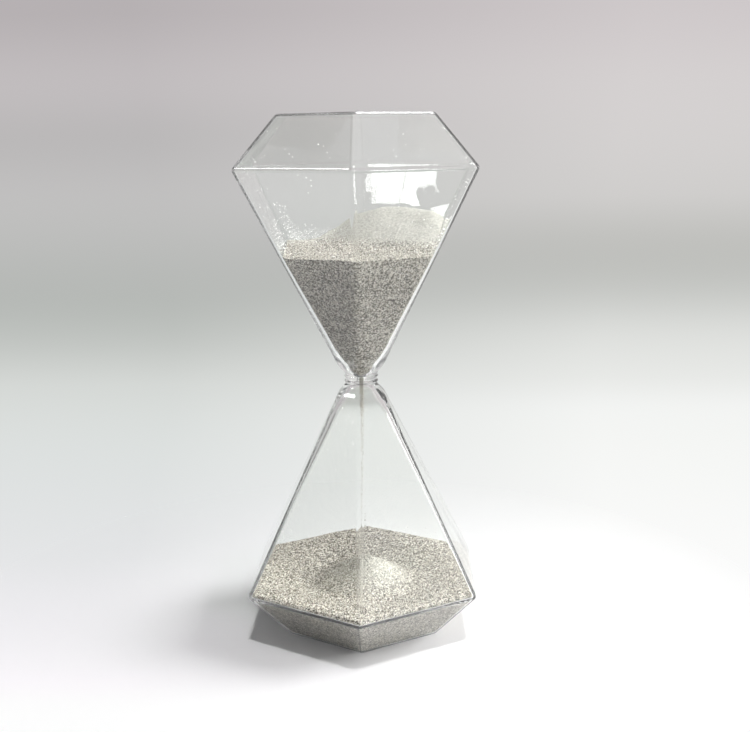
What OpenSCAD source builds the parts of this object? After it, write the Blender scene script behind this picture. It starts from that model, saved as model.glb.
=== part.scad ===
// Hourglass: two six-sided glass bulbs fused at a thick neck, with loose sand inside.
// The origin is the middle of the base face, +Z is up, and one corner of every
// hexagon points along -Y.

/* [Overall] */
// Height from the base face to the top face
height = 200; // [170:1:230]
// Width across opposite corners at the widest ring of a bulb
girdle_d = 100; // [86:1:116]
// Width across opposite corners of the flat face at each end
end_d = 67.4; // [54:0.2:74]
// Height of the bevel between an end face and the widest ring
crown_h = 19.5; // [14:0.5:24]

/* [Glass] */
// Thickness of the bulb walls
wall = 2; // [1.6:0.1:2.6]
// Rounding radius of the outer edges
outer_r = 2; // [1.2:0.1:2.6]
// Rounding radius of the inner edges
inner_r = 1; // [0.6:0.1:1.6]
// Diameter of the sealed filling hole in the base
seal_d = 8; // [5:0.5:12]

/* [Neck] */
// Height of the fused neck piece between the bulbs
neck_h = 7; // [6:0.5:9]
// Outer diameter of the neck at the groove of its weld
waist_d = 12.2; // [11:0.2:13]
// Outer diameter at each end of the neck piece
neck_end_d = 14.4; // [13.4:0.2:15]
// Height of each rim beside the weld groove
rim_h = 1; // [0.6:0.1:1.4]
// How far each rim stands out from the groove
rim_out = 0.4; // [0.2:0.1:0.6]
// Height above the waist at which the flat sides begin
shoulder_h = 7; // [6:0.5:9]
// Width across opposite corners where the flat sides begin
shoulder_d = 19.4; // [18:0.2:22]
// Rounding radius of the corners there, from which it narrows towards the widest ring
shoulder_r = 5; // [4:0.5:6]
// Diameter of the throat that meters the sand
throat_d = 2.4; // [2:0.1:3]
// Length of the straight throat
throat_len = 1.5; // [1:0.1:2.5]
// Angle between the funnel wall and the axis
funnel_angle = 39; // [36:1:44]

/* [Upper sand] */
// Height of the sand surface above the waist
upper_level = 49; // [30:1:60]
// Diameter of the pit that the outflow draws down
pit_d = 11; // [6:1:12]
// Depth of that pit
pit_depth = 2.5; // [1.5:0.5:3.5]
// Height of the bank of sand left standing against the wall
drift_h = 15; // [8:0.5:17]
// Width of the rounded top of that bank
drift_top_d = 4; // [3:1:10]
// Length of that top, along the wall
drift_len = 24; // [12:1:30]
// Direction of the bank, counter-clockwise from +X
drift_turn = 64; // [50:1:100]
// Distance of the top of the bank from the axis
drift_out = 34; // [32:0.5:37]
// Slope of sand at rest
repose = 32; // [28:1:36]

/* [Lower sand] */
// Height of the settled sand at the walls above the base face
lower_level = 20.5; // [14:0.5:30]
// Diameter of the dish in the settled sand
dish_d = 78; // [60:1:82]
// Depth of the dish, on whose floor the fresh heap stands
dish_depth = 5; // [3:0.5:7]
// Diameter of the fresh heap under the stream
mound_d = 40; // [30:1:48]
// Height of that heap
mound_h = 10; // [7:0.5:12]
// Diameter of the crater in the top of the heap
crater_d = 5.6; // [4:0.2:8]
// Depth of the crater
crater_depth = 1; // [0.5:0.1:1.5]

/* [Falling sand] */
// Diameter of the stream in the throat
stream_top_d = 2; // [1.4:0.1:2]
// Diameter of the stream where it lands
stream_foot_d = 1.6; // [1:0.1:2]
// Length over which the stream thins below the throat
stream_taper = 14; // [6:1:30]
// Air between the sand and the glass
sand_gap = 0.1; // [0.05:0.01:0.2]

/* [Loose grains] */
// Diameter of one grain
grain_d = 0.6; // [0.4:0.1:0.8]
// Grains clinging to the glass of each bulb
grain_count = 30; // [12:6:48]
// Air between a grain and the glass that it clings to
grain_gap = 0.04; // [0.03:0.01:0.08]

/* [Hidden] */

glass_colour = [0.86, 0.93, 0.90, 0.35];
weld_colour = [0.78, 0.88, 0.84, 0.6];
sand_colour = "#b5ada0";
fresh_sand_colour = "#c6beb0";
grain_colour = "#8f887c";

sides = 6;
turn = 360 / sides;
to_corner = 1 / cos(turn / 2);
ball_fn = 24;
round_fn = 48;
overcut = 1;
// Thickness of the discs that end a hull
film = 0.01;

// All heights below are above the waist of the upper bulb; the lower bulb mirrors it.
half_h = height / 2;
end_z = half_h - outer_r;
girdle_z = half_h - crown_h;
neck_z = neck_h / 2;

// Rings of the centres of the outer edge rounding, as distances to a side
end_a = (end_d / 2 - outer_r) / to_corner;
girdle_a = (girdle_d / 2 - outer_r) / to_corner;
shoulder_a = (shoulder_d / 2 - shoulder_r) / to_corner;

// Lean of the long sides and of the bevels from the axis. A long side touches the
// balls of two rings, and the balls differ in radius.
side_rise = girdle_z - shoulder_h;
side_run = girdle_a - shoulder_a;
side_lean = acos((shoulder_r - outer_r) / norm([side_run, side_rise])) - atan2(side_rise, side_run);
bevel_lean = atan((girdle_a - end_a) / (end_z - girdle_z));

// Distance from the axis to a flat side, for the widest ring's centres moved in by t
function side_a(z, t) = girdle_a + (z - girdle_z) * tan(side_lean) - t / cos(side_lean);
function bevel_a(z, t) = girdle_a - (z - girdle_z) * tan(bevel_lean) - t / cos(bevel_lean);
function ring_z(t) = girdle_z
    + t * (1 / cos(side_lean) - 1 / cos(bevel_lean)) / (tan(side_lean) + tan(bevel_lean));

// Heights of the fresh heap above the base face
mound_foot_z = lower_level - dish_depth;
mound_top_z = mound_foot_z + mound_h;
landing_z = mound_top_z - crater_depth;

// Radius of the funnel at a height, and the height at which it reaches the flat walls
function funnel_r(z) = throat_d / 2 + (z - throat_len / 2) * tan(funnel_angle);
funnel_top_z = (side_a(0, wall - outer_r) - funnel_r(0)) / (tan(funnel_angle) - tan(side_lean));

// A ball with exact poles, so that the faces resting on it are at their true height
module ball(r) {
    step = 360 / ball_fn;
    rotate_extrude($fn = ball_fn)
        polygon([for (a = [-90 : step : 90]) [r * cos(a), r * sin(a)]]);
}

// Six balls on the corners of a hexagon
module corner_ring(to_side, z, r) {
    for (k = [0 : sides - 1])
        rotate((k + 0.5) * turn)
            translate([to_side * to_corner, 0, z])
                ball(r);
}

module disc(r, z, thick) {
    translate([0, 0, z]) cylinder(h = thick, r = r, $fn = round_fn);
}

// Outside of the upper bulb
module bulb_outside() {
    hull() {
        corner_ring(end_a, end_z, outer_r);
        corner_ring(girdle_a, girdle_z, outer_r);
        corner_ring(shoulder_a, shoulder_h, shoulder_r);
        disc(neck_end_d / 2, neck_z, film);
    }
}

// Space inside the upper bulb, shrunk by air, down to the height foot_z in the funnel
module bulb_inside(air, foot_z) {
    t = wall - outer_r + inner_r + air;
    shoulder_z = funnel_top_z + inner_r;
    hull() {
        corner_ring(bevel_a(end_z + outer_r - wall - inner_r - air, t),
                    end_z + outer_r - wall - inner_r - air, inner_r);
        corner_ring(side_a(ring_z(t), t), ring_z(t), inner_r);
        corner_ring(side_a(shoulder_z, t), shoulder_z, inner_r);
        disc(funnel_r(foot_z) - air / cos(funnel_angle), foot_z, film);
    }
}

// Things modelled in the upper bulb move to their place, or turn over into the lower one
module in_upper() {
    translate([0, 0, half_h]) children();
}
module in_lower() {
    translate([0, 0, half_h]) mirror([0, 0, 1]) children();
}

module bulb() {
    mouth_z = neck_z - overcut;
    difference() {
        bulb_outside();
        bulb_inside(0, mouth_z);
    }
}

module upper_bulb() {
    color(glass_colour) in_upper() bulb();
}

module lower_bulb() {
    color(glass_colour)
        difference() {
            in_lower() bulb();
            translate([0, 0, -overcut]) cylinder(h = wall + 2 * overcut, d = seal_d, $fn = round_fn);
        }
}

// A thick tube with the throat in it, and outside a groove between two low rims
module neck_weld() {
    groove_r = waist_d / 2;
    rim_r = groove_r + rim_out;
    rim_low_z = rim_h / 2;
    rim_high_z = rim_low_z + rim_h;
    bore_r = funnel_r(neck_z);
    color(weld_colour)
        translate([0, 0, half_h])
            rotate_extrude($fn = 96)
                polygon([
                    [throat_d / 2, -throat_len / 2],
                    [bore_r, -neck_z],
                    [neck_end_d / 2, -neck_z],
                    [rim_r, -rim_high_z],
                    [rim_r, -rim_low_z],
                    [groove_r, 0],
                    [rim_r, rim_low_z],
                    [rim_r, rim_high_z],
                    [neck_end_d / 2, neck_z],
                    [bore_r, neck_z],
                    [throat_d / 2, throat_len / 2]
                ]);
}

// The drop of glass that closes the filling hole, level with both faces of the wall
module fill_seal() {
    color(weld_colour) cylinder(h = wall, d = seal_d, $fn = round_fn);
}

module upper_sand() {
    color(sand_colour)
        in_upper()
            difference() {
                bulb_inside(sand_gap, throat_len / 2);
                translate([-girdle_d, -girdle_d, upper_level]) cube([2 * girdle_d, 2 * girdle_d, half_h]);
                translate([0, 0, upper_level - pit_depth])
                    cylinder(h = pit_depth * 2, d1 = 0, d2 = pit_d * 2, $fn = round_fn);
            }
}

// A ridge of sand at its slope of rest, cut off by the walls behind it
module upper_sand_drift() {
    foot_r = drift_top_d / 2 + drift_h / tan(repose);
    color(sand_colour)
        in_upper()
            intersection() {
                bulb_inside(sand_gap, neck_z);
                rotate(drift_turn)
                    hull()
                        for (side = [-1, 1])
                            translate([drift_out, side * drift_len / 2, upper_level]) {
                                disc(foot_r, 0, film);
                                disc(drift_top_d / 2, drift_h - film, film);
                            }
            }
}

module falling_sand() {
    throat_z = half_h - throat_len / 2;
    color(fresh_sand_colour)
        rotate_extrude($fn = round_fn)
            polygon([
                [0, landing_z],
                [stream_foot_d / 2, landing_z],
                [stream_foot_d / 2, throat_z - stream_taper],
                [stream_top_d / 2, throat_z],
                [stream_top_d / 2, half_h + throat_len / 2],
                [0, half_h + throat_len / 2]
            ]);
}

// Settled sand, dished by the tip of the hourglass when it was turned over
module lower_sand() {
    color(sand_colour)
        difference() {
            intersection() {
                in_lower() bulb_inside(sand_gap, neck_z);
                translate([-girdle_d, -girdle_d, 0]) cube([2 * girdle_d, 2 * girdle_d, lower_level]);
            }
            translate([0, 0, mound_foot_z])
                cylinder(h = 2 * dish_depth, d1 = mound_d, d2 = 2 * dish_d - mound_d, $fn = round_fn);
        }
}

// The heap under the stream, with a crater whose flat floor takes the stream's foot
module lower_sand_mound() {
    color(fresh_sand_colour)
        rotate_extrude($fn = round_fn)
            polygon([
                [0, mound_foot_z],
                [mound_d / 2, mound_foot_z],
                [crater_d / 2, mound_top_z],
                [stream_foot_d / 2 + sand_gap, landing_z],
                [0, landing_z]
            ]);
}

// Grains spread over the walls between two heights above the waist
module clinging_grains(low_z, high_z, first_side) {
    golden = 0.618034;
    t = wall - outer_r + grain_d / 2 + grain_gap;
    for (k = [0 : grain_count - 1]) {
        z = low_z + (high_z - low_z) * (k + 0.5) / grain_count;
        along = 1.6 * ((k * golden) % 1) - 0.8;
        a = min(side_a(z, t), bevel_a(z, t));
        rotate((first_side + k * 2) % sides * turn + floor(k / 3) % 2 * turn)
            translate([a, along * a * tan(turn / 2), z])
                sphere(d = grain_d, $fn = 16);
    }
}

module upper_loose_grains() {
    clear = 2 * grain_d;
    color(grain_colour)
        in_upper() clinging_grains(upper_level + drift_h + clear, end_z - wall - clear, 1);
}

module lower_loose_grains() {
    clear = 2 * grain_d;
    color(grain_colour)
        in_lower() clinging_grains(funnel_top_z + clear, half_h - mound_top_z - clear, 2);
}

upper_bulb();
lower_bulb();
neck_weld();
fill_seal();
upper_sand();
upper_sand_drift();
falling_sand();
lower_sand();
lower_sand_mound();
upper_loose_grains();
lower_loose_grains();
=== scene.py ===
"""Hourglass of two six-sided glass bulbs, half run, standing on a pale sweep.

Shapes are worked out in millimetres and become metres when a mesh is made. Heights inside a
bulb are above the waist, and the lower bulb is the upper one turned over.
"""

import itertools
import math

import bpy
import numpy as np
from mathutils import Matrix, Vector


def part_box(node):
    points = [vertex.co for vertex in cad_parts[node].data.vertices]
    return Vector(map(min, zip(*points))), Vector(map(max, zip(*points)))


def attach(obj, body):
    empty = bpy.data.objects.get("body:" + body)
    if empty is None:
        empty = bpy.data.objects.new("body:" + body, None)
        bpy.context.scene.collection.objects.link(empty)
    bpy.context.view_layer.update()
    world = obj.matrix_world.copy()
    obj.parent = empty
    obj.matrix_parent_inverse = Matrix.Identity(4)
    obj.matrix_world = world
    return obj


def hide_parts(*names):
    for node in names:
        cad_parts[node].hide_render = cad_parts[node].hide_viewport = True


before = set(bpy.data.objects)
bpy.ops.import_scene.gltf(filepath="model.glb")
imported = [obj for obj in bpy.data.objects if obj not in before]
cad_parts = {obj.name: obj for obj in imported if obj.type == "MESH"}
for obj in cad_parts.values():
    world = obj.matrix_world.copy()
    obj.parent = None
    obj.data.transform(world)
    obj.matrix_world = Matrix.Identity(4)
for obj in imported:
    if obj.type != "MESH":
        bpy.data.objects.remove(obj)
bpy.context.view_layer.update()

MM = 0.001
# A length too small to see, over which slopes are measured
HAIR = 0.01
rng = np.random.default_rng(7)

# -------- sizes, from the frame
# Names end in _R for a radius, _A for a distance from the axis to a flat side, _Z for a height
# above the waist, _SLOPE for how far a wall leans out, or a bevel in, for each step up, and
# _LEAN for that as an angle.
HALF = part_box("upper_bulb")[1].z / MM / 2
GIRDLE_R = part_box("upper_bulb")[1].y / MM
NECK_Z = (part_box("neck_weld")[1].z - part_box("neck_weld")[0].z) / MM / 2
NECK_END_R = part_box("neck_weld")[1].x / MM
SEAL_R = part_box("fill_seal")[1].x / MM
# The sand in the lower bulb is measured from the base, and that in the upper one from the waist
LOWER_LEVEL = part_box("lower_sand")[1].z / MM
MOUND_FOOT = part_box("lower_sand_mound")[0].z / MM
MOUND_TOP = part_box("lower_sand_mound")[1].z / MM
MOUND_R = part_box("lower_sand_mound")[1].x / MM
UPPER_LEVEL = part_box("upper_sand_drift")[0].z / MM - HALF
DRIFT_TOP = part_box("upper_sand_drift")[1].z / MM - HALF

# The CAD's own values, which no box gives
CROWN_H = 19.5
END_R = 33.7
WALL = 2.0
OUTER_R = 2.0
INNER_R = 1.0
SHOULDER_H = 7.0
SHOULDER_WIDTH_R = 9.7
SHOULDER_R = 5.0
THROAT_R = 1.2
THROAT_HALF = 0.75
FUNNEL_SLOPE = math.tan(math.radians(39))
WAIST_R = 6.1
RIM_OUT = 0.4

# Blown glass is thinner where it has been blown widest. Between these heights its wall thins.
THIN_WALL = 1.25
THINS_FROM = 14.0
THINS_TO = 50.0

SIDES = 6
TURN = 2 * math.pi / SIDES
TO_CORNER = 1 / math.cos(TURN / 2)
# Where the rounding of the widest ring and that of the end face have their centres
GIRDLE_A = (GIRDLE_R - OUTER_R) / TO_CORNER
GIRDLE_Z = HALF - CROWN_H
END_A = (END_R - OUTER_R) / TO_CORNER
END_Z = HALF - OUTER_R
SIDE_RUN = GIRDLE_A - (SHOULDER_WIDTH_R - SHOULDER_R) / TO_CORNER
SIDE_RISE = GIRDLE_Z - SHOULDER_H
SIDE_LEAN = (
    math.acos((SHOULDER_R - OUTER_R) / math.hypot(SIDE_RUN, SIDE_RISE))
    - math.atan2(SIDE_RISE, SIDE_RUN)
)
SIDE_SLOPE = math.tan(SIDE_LEAN)
BEVEL_SLOPE = (GIRDLE_A - END_A) / (END_Z - GIRDLE_Z)
BEVEL_LEAN = math.atan(BEVEL_SLOPE)

# -------- camera
CAMERA_TURN = math.radians(1.55)
CAMERA_AT = Vector((0.0054, -0.4022, 0.1910))
CAMERA_PITCH = math.radians(12.14)
CAMERA_ROLL = math.radians(-0.741)
CAMERA_LENS = 50.8


def link(name, data):
    """A new object of that data, in the scene."""
    made = bpy.data.objects.new(name, data)
    bpy.context.scene.collection.objects.link(made)
    return made


def make_camera():
    """The camera stands 0.4 m in front, a little to the right, and looks down at the waist."""
    data = bpy.data.cameras.new("camera")
    data.lens = CAMERA_LENS
    data.sensor_width = 36
    data.clip_start = 0.01
    camera = link("camera", data)
    place = Matrix.Rotation(CAMERA_TURN, 4, "Z") @ Matrix.Translation(CAMERA_AT)
    pitch = Matrix.Rotation(math.pi / 2 - CAMERA_PITCH, 4, "X")
    tilt = pitch @ Matrix.Rotation(CAMERA_ROLL, 4, "Z")
    camera.matrix_world = place @ tilt
    bpy.context.scene.camera = camera


make_camera()
bpy.context.scene.view_settings.view_transform = "Standard"
# Light runs far inside a glass wall before it comes out at an edge, and crosses clear joints
WALL_BOUNCES = 32
CLEAR_BOUNCES = 16
cycles = bpy.context.scene.cycles
cycles.max_bounces = cycles.transmission_bounces = cycles.glossy_bounces = WALL_BOUNCES
cycles.transparent_max_bounces = CLEAR_BOUNCES

# -------- six-sided outlines
# The rounding of the corners takes at most this share of the distance to a side
MOST_ROUND = 0.97


class Outline:
    """Columns of points round a six-sided outline with rounded corners."""

    def __init__(self, arc_steps, side_steps):
        corner, normal = [], []
        for k in range(SIDES):
            here = (k + 0.5) * TURN
            for i in range(arc_steps):
                corner.append(self.unit(here))
                normal.append(self.unit(here + TURN * (i / arc_steps - 0.5)))
            for i in range(side_steps):
                t = i / side_steps
                corner.append((1 - t) * self.unit(here) + t * self.unit(here + TURN))
                normal.append(self.unit(here + TURN / 2))
        self.corner = np.array(corner) * TO_CORNER
        self.normal = np.array(normal)
        self.count = len(corner)

    @staticmethod
    def unit(angle):
        """The direction at an angle, one long."""
        return np.array((math.cos(angle), math.sin(angle)))

    def at(self, apothem, corner_r):
        """Points of the outline with its sides apothem from the axis. Both may differ by column."""
        apothem = np.broadcast_to(apothem, self.count)[:, None]
        corner_r = np.minimum(np.broadcast_to(corner_r, self.count)[:, None], MOST_ROUND * apothem)
        return (apothem - corner_r) * self.corner + corner_r * self.normal


def smooth_min(a, b, k):
    """The lesser of a and b, blended where they are within k of each other."""
    h = np.clip(0.5 + 0.5 * (b - a) / k, 0, 1)
    return b + (a - b) * h - k * h * (1 - h)


def smooth_max(a, b, k):
    """The greater of a and b, blended likewise."""
    return -smooth_min(-a, -b, k)


def smooth_step(t):
    """0 to 1 as t goes from 0 to 1, level at both ends."""
    return t * t * (3 - 2 * t)


def hermite(z, z0, z1, a0, a1, s0, s1):
    """The smooth curve from a0 at z0 to a1 at z1 that has the slopes s0 and s1 there."""
    t = (z - z0) / (z1 - z0)
    d = z1 - z0
    return (
        (2 * t**3 - 3 * t**2 + 1) * a0
        + (t**3 - 2 * t**2 + t) * d * s0
        + (3 * t**2 - 2 * t**3) * a1
        + (t**3 - t**2) * d * s1
    )


NECK_BLEND_Z = 6.5
NECK_SLOPE = 0.85
FUNNEL_BLEND = 1.2


def side_line(z, skin):
    """Distance from the axis to a long side's plane, skin deep in the glass."""
    return GIRDLE_A + (z - GIRDLE_Z) * SIDE_SLOPE + (OUTER_R - skin) / math.cos(SIDE_LEAN)


def outer_side(z):
    """The outside of a bulb between the neck piece and the widest ring."""
    line = side_line(z, 0)
    blend = hermite(
        z, NECK_Z, NECK_BLEND_Z, NECK_END_R, side_line(NECK_BLEND_Z, 0), NECK_SLOPE, SIDE_SLOPE
    )
    return np.where(z < NECK_BLEND_Z, blend, line)


def inner_side(z, skin):
    """The inside of a bulb: a funnel that turns into the long sides."""
    air = (skin - WALL) / math.cos(SIDE_LEAN)
    funnel = THROAT_R + (z - THROAT_HALF) * FUNNEL_SLOPE - air
    return smooth_min(funnel, side_line(z, skin), FUNNEL_BLEND)


def corner_radius(z, least):
    """Rounding of the upright corners, which are full and soft at the neck, crisp at the ring."""
    soft = SHOULDER_R + (OUTER_R - SHOULDER_R) * (z - SHOULDER_H) / (GIRDLE_Z - SHOULDER_H)
    return np.maximum(soft - (OUTER_R - least), least)


def arc(centre_a, centre_z, r, start, stop, steps):
    """Rows round an edge: apothem, height and slope angle of the surface."""
    rows = []
    for i in range(steps + 1):
        angle = start + (stop - start) * i / steps
        rows.append((centre_a + r * math.cos(angle), centre_z + r * math.sin(angle), angle))
    return rows


def ring_corner(skin, r):
    """Centre of the rounding between a long side and a bevel, skin deep in the glass."""
    t = skin + r - OUTER_R
    both = 1 / math.cos(SIDE_LEAN) - 1 / math.cos(BEVEL_LEAN)
    z = GIRDLE_Z + t * both / (SIDE_SLOPE + BEVEL_SLOPE)
    return GIRDLE_A + (z - GIRDLE_Z) * SIDE_SLOPE - t / math.cos(SIDE_LEAN), z


def end_corner(skin, r):
    """Centre of the rounding between a bevel and the end face."""
    z = HALF - skin - r
    t = skin + r - OUTER_R
    return GIRDLE_A - (z - GIRDLE_Z) * BEVEL_SLOPE - t / math.cos(BEVEL_LEAN), z


SIDE_ROWS = 60
# At the neck, where the wall curves, rows lie this much of their mean distance apart
NECK_SPACING = 0.3
EDGE_ROWS = 8
FLAT_ROWS = 12


def bulb_rows(skin, r, hole_r):
    """Rows of (apothem, corner radius, height, lean of the normal) from the neck to the end face.
    skin is the depth below the outside, and r the rounding of the edges there."""
    side = outer_side if skin == 0 else lambda z: inner_side(z, skin)
    ring_a, ring_z = ring_corner(skin, r)
    end_a, end_z = end_corner(skin, r)
    side_top = ring_z - r * math.sin(SIDE_LEAN)
    rows = []
    for i in range(SIDE_ROWS):
        s = i / SIDE_ROWS
        z = NECK_Z + (side_top - NECK_Z) * (NECK_SPACING * s + (1 - NECK_SPACING) * s * s)
        lean = -math.atan((side(z + HAIR) - side(z)) / HAIR)
        rows.append((float(side(z)), float(corner_radius(z, r)), z, lean))
    ring = arc(ring_a, ring_z, r, -SIDE_LEAN, BEVEL_LEAN, EDGE_ROWS)
    end = arc(end_a, end_z, r, BEVEL_LEAN, math.pi / 2, EDGE_ROWS)
    foot_a, foot_z, _ = ring[-1]
    head_a, head_z, _ = end[0]
    rows += [(a, r, z, lean) for a, z, lean in ring]
    for i in range(1, FLAT_ROWS):
        s = i / FLAT_ROWS
        rows.append((foot_a + (head_a - foot_a) * s, r, foot_z + (head_z - foot_z) * s, BEVEL_LEAN))
    rows += [(a, r, z, lean) for a, z, lean in end]
    for i in range(1, FLAT_ROWS + 1):
        s = i / FLAT_ROWS
        rows.append((end_a + (hole_r - end_a) * s, r + (hole_r - r) * s, HALF - skin, math.pi / 2))
    return rows


def thinning(z):
    """How far the blown wall has gone from thick at the neck to thin, at a height."""
    return smooth_step(np.clip((z - THINS_FROM) / (THINS_TO - THINS_FROM), 0, 1))


def inside_rows(hole_r):
    """Rows of a bulb's inside, whose wall is thick at the neck and thin at the ring and end."""
    thick = bulb_rows(WALL, INNER_R, hole_r)
    thin = bulb_rows(THIN_WALL, OUTER_R - THIN_WALL, hole_r)
    rows = []
    for row, thin_row in zip(thick, thin):
        share = thinning(row[2])
        rows.append(tuple(p + (q - p) * share for p, q in zip(row, thin_row)))
    return rows


# -------- meshes
SHORTEST_STEP = 1e-4


def tube(outline, rows):
    """Points and normals of a tube of rows, as arrays of rows x columns x 3."""
    facing = (outline.corner * outline.normal).sum(1)
    steps = [0.0]
    for last, here in zip(rows, rows[1:]):
        step = math.hypot(here[0] - last[0], here[2] - last[2])
        steps.append(steps[-1] + max(step, SHORTEST_STEP))
    widening = np.gradient([min(row[1], MOST_ROUND * row[0]) for row in rows], steps)
    points, normals = [], []
    for (apothem, corner_r, z, lean), wider in zip(rows, widening):
        flat = outline.at(apothem, corner_r)
        points.append(np.column_stack((flat, np.full(outline.count, z))))
        upward = math.sin(lean) * facing + wider * (facing - 1)
        normal = np.column_stack((outline.normal * math.cos(lean), upward))
        normals.append(normal / np.linalg.norm(normal, axis=1, keepdims=True))
    return np.array(points), np.array(normals)


def joined_rows(first, second, columns):
    """Quads between two rings of points, given by the number of the first point of each."""
    here = np.arange(columns)
    after = (here + 1) % columns
    return np.stack((first + here, first + after, second + after, second + here), axis=-1)


def grid_faces(rows, columns, first, inward=False):
    """Quads of a tube of rows, each a closed ring of columns."""
    starts = first + columns * np.arange(rows)
    faces = np.concatenate([joined_rows(a, b, columns) for a, b in zip(starts, starts[1:])])
    return faces[:, ::-1] if inward else faces


# Turns points over for the lower bulb
TURNED = (1, 1, -1)


def mesh_from(name, points, faces, normals=None, face_slots=None, turned=False):
    """A smooth-shaded mesh from points in mm, whose heights are above the waist, or turned over."""
    if turned:
        points = points * TURNED
        faces = [f[::-1] for f in faces]
    mesh = bpy.data.meshes.new(name)
    mesh.from_pydata(((points + (0, 0, HALF)) * MM).tolist(), [], faces)
    mesh.polygons.foreach_set("use_smooth", [True] * len(mesh.polygons))
    if face_slots is not None:
        mesh.polygons.foreach_set("material_index", face_slots)
    mesh.update()
    if normals is not None:
        normals = normals * TURNED if turned else normals
        mesh.normals_split_custom_set_from_vertices(normals.tolist())
    return mesh


RIPPLES = [
    # direction of the wave, its length in mm, the slope that it gives
    ((0.8, 0.5, 0.33), 31.0, 0.0035),
    ((-0.6, 0.7, -0.4), 19.0, 0.0030),
    ((0.2, -0.9, 0.38), 13.0, 0.0022),
    ((0.97, 0.2, 0.02), 6.5, 0.0014),
    ((-0.3, 0.95, 0.03), 5.2, 0.0012),
]
RIPPLE_FADE = 5.0


def ripple(points, normals, strength, shift):
    """Moves a glass surface by the gentle waves of blown glass, and tilts its normals to match."""
    height = np.zeros(points.shape[:-1])
    slope = np.zeros_like(points)
    for i, (direction, length, steep) in enumerate(RIPPLES):
        wave = np.array(direction) / np.linalg.norm(direction) * 2 * math.pi / length
        phase = points @ wave + shift * (i + 1)
        size = strength * steep * length / (2 * math.pi)
        height += size * np.sin(phase)
        slope += (size * np.cos(phase))[..., None] * wave
    slope -= (slope * normals).sum(-1, keepdims=True) * normals
    tilted = normals - slope
    tilted /= np.linalg.norm(tilted, axis=-1, keepdims=True)
    return points + normals * height[..., None], tilted


def calm(points):
    """How much of the ripple a point gets: none where pieces are fused, full away from there."""
    radius = np.hypot(points[..., 0], points[..., 1])
    neck = np.clip((np.abs(points[..., 2]) - NECK_Z) / RIPPLE_FADE, 0, 1)
    on_end = np.abs(points[..., 2]) > HALF - WALL - HAIR
    seal = np.clip((radius - SEAL_R) / RIPPLE_FADE, 0, 1)
    return neck * np.where(on_end, seal, 1.0)


GLASS_OUTLINE = Outline(arc_steps=12, side_steps=8)
# Material slots of a glass mesh
GLASS, FUSED = 0, 1
# Radius of the last ring of an end that a cap closes
CLOSED_R = 0.6


def glass_solid(name, outer_rows, inner_rows, turned=False, capped=False):
    """A closed glass mesh with an outside, an inside and fused faces at its open ends. capped
    closes the last rows with glass instead, and turned turns it over for the lower bulb."""
    columns = GLASS_OUTLINE.count
    outer, outer_normals = tube(GLASS_OUTLINE, outer_rows)
    inner, inner_normals = tube(GLASS_OUTLINE, inner_rows)
    outer, outer_normals = ripple(outer, outer_normals, strength=0.6 * calm(outer), shift=1.0)
    inner, inner_normals = ripple(inner, inner_normals, strength=0.9 * calm(inner), shift=2.3)
    points = np.concatenate((outer.reshape(-1, 3), inner.reshape(-1, 3)))
    normals = np.concatenate((outer_normals.reshape(-1, 3), -inner_normals.reshape(-1, 3)))
    inside = len(outer_rows) * columns
    outer_end, inner_end = inside - columns, len(points) - columns
    faces = grid_faces(len(outer_rows), columns, 0).tolist()
    faces += grid_faces(len(inner_rows), columns, inside, inward=True).tolist()
    ring = np.arange(columns)
    if capped:
        faces += [(outer_end + ring).tolist(), (inner_end + ring)[::-1].tolist()]
    fused = joined_rows(0, inside, columns)[:, ::-1].tolist()
    if not capped:
        fused += joined_rows(outer_end, inner_end, columns).tolist()
    slots = [GLASS] * len(faces) + [FUSED] * len(fused)
    return mesh_from(name, points, faces + fused, normals, slots, turned)


# The neck's soft rims stand beside the groove of the weld, and fade out before the neck's ends
RIM_Z = 0.95
RIM_WIDTH = 0.42
RIM_FADE = 1.5
NECK_POWER = NECK_SLOPE * NECK_Z / (NECK_END_R - WAIST_R)
NECK_ROWS = 56
# How softly the throat turns into the funnels, and the height over which that widening sets in
THROAT_SOFT = 0.02
THROAT_EASE = 0.4


def neck_outside(z):
    """Radius of the neck piece: wider towards its ends, with a rim on each side of the groove."""
    waist = WAIST_R + (NECK_END_R - WAIST_R) * abs(z / NECK_Z) ** NECK_POWER
    rim = math.exp(-(((abs(z) - RIM_Z) / RIM_WIDTH) ** 2))
    fade = min(1.0, (NECK_Z - abs(z)) / RIM_FADE)
    return waist + RIM_OUT * rim * fade


def neck_inside(z):
    """Radius of the throat and of the funnels above and below it."""
    funnel = (abs(z) - THROAT_HALF) * FUNNEL_SLOPE
    wider = 0.5 * (funnel + math.sqrt(funnel**2 + THROAT_SOFT))
    return THROAT_R + wider * min(1.0, (abs(z) / THROAT_EASE) ** 2)


def neck_rows(radius):
    """Rows of the outside or the inside of the neck piece, which is round."""
    rows = []
    for i in range(NECK_ROWS + 1):
        z = NECK_Z * (2 * i / NECK_ROWS - 1)
        slope = (radius(z + HAIR) - radius(z - HAIR)) / (2 * HAIR)
        rows.append((radius(z), radius(z), z, -math.atan(slope)))
    return rows


SEAL_ROWS = 10
DIMPLE_REACH = 1.15


def seal_rows(skin, dimple):
    """Rows of one face of the drop of glass in the filling hole, from its rim to its middle.
    dimple is the depth of the hollow between the two."""
    rows = []
    for i in range(SEAL_ROWS + 1):
        r = SEAL_R + (CLOSED_R - SEAL_R) * i / SEAL_ROWS
        inward = min(1.0, (SEAL_R - r) / SEAL_R * DIMPLE_REACH)
        dip = dimple * math.sin(math.pi * inward) ** 2
        rows.append((r, r, HALF - skin - dip, math.pi / 2))
    return rows


# -------- shader nodes
def math_node(operation):
    """A method of Number that adds a Math node."""
    return lambda self, *others: self.maths(operation, self, *others)


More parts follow.
